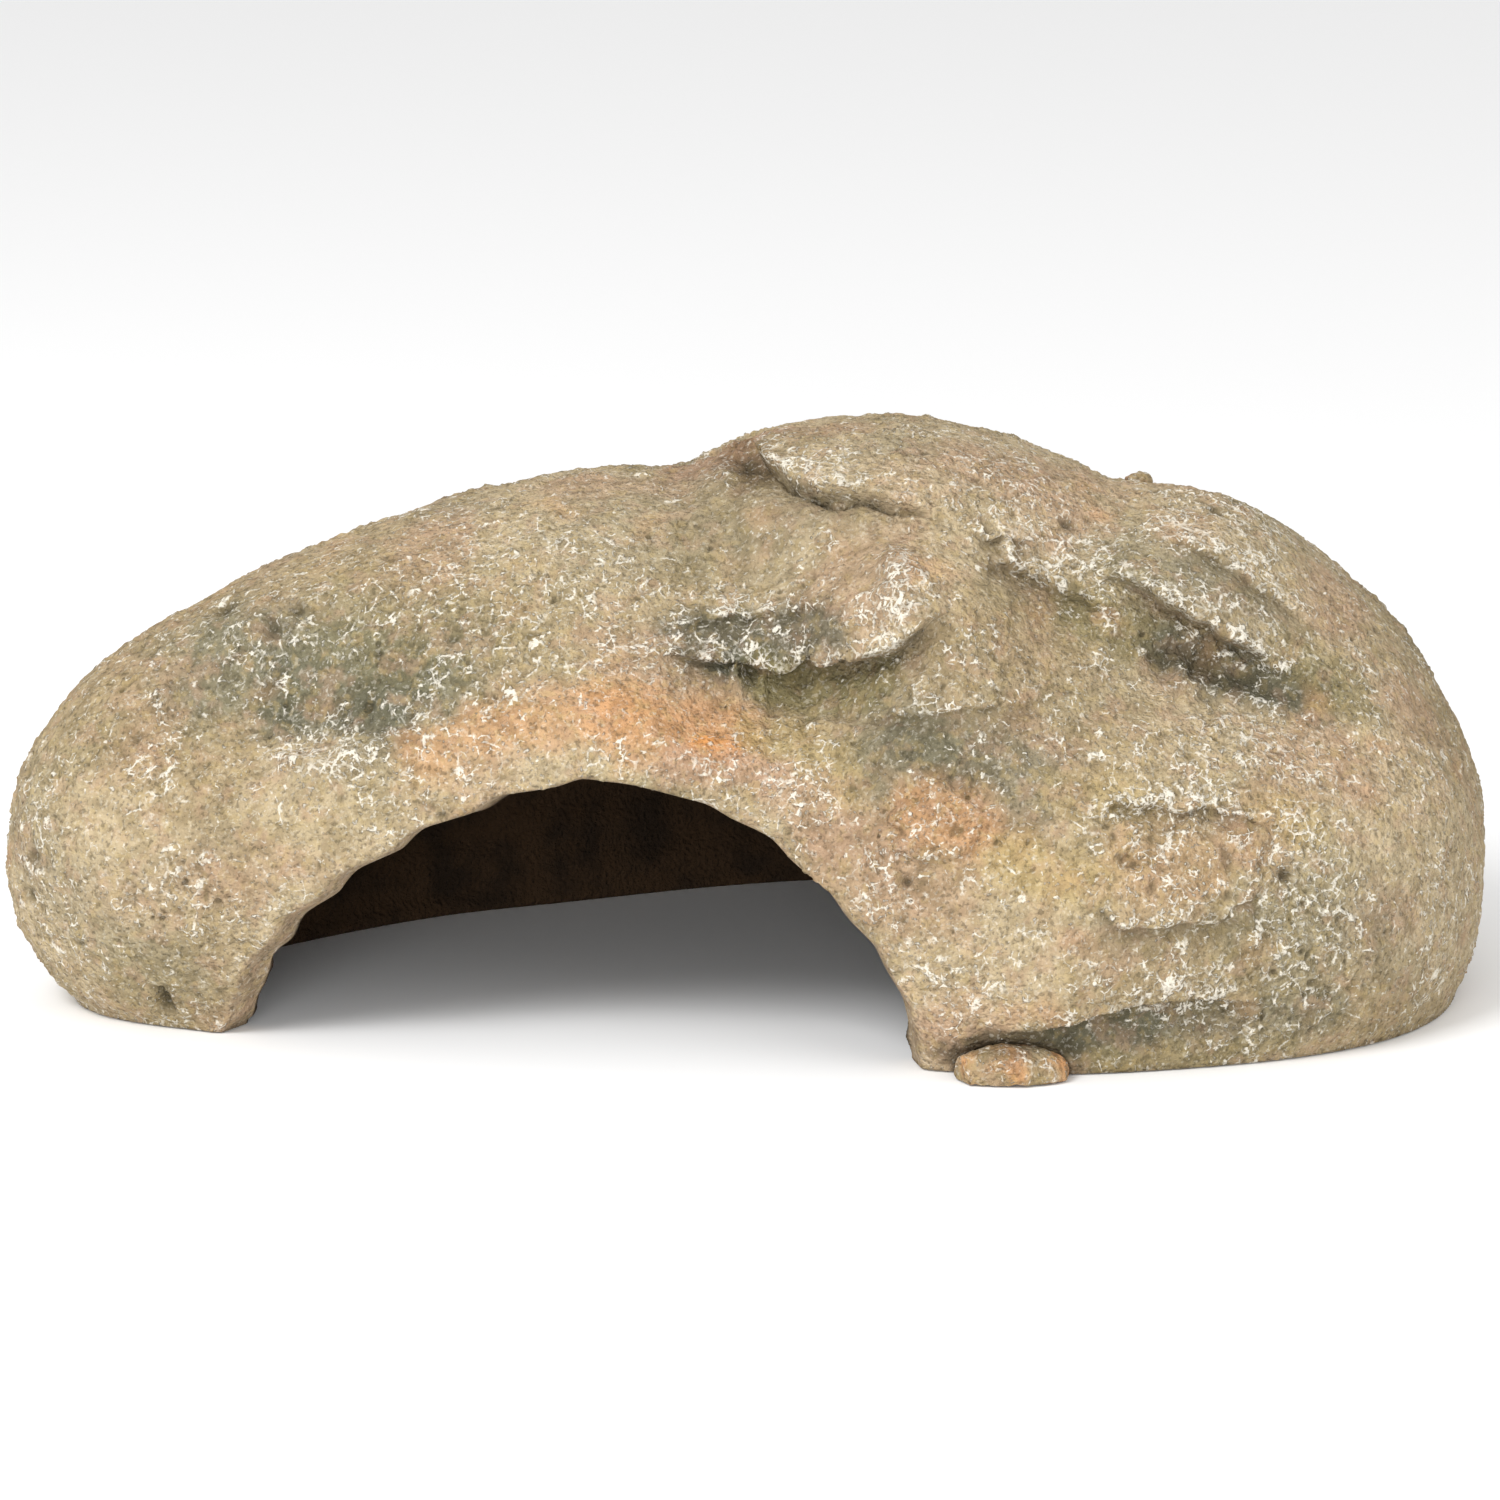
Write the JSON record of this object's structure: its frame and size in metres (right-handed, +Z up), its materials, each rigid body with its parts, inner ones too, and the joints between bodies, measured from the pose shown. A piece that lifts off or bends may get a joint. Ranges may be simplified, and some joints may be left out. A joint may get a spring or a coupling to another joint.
{
  "type": "cave ornament",
  "caption": "Hollow boulder-shaped cave ornament of cast resin, open underneath, with a wide lopsided arched mouth in its front wall.",
  "frame": {"origin": "middle of the underside of the bounding box, on the floor that the rim stands on", "axes": "+X along the length towards the larger end, -Y out of the mouth, +Z up"},
  "size_m": [0.17, 0.1, 0.065],
  "materials": {
    "painted_resin": "matte hand-painted stone look, dry-brushed",
    "stone_resin": "matte hand-painted stone look, warmer"
  },
  "bodies": {
    "root": {"cave_shell": "painted_resin", "foot_stone": "stone_resin", "crest_pebble": "stone_resin"}
  },
  "joints": []
}
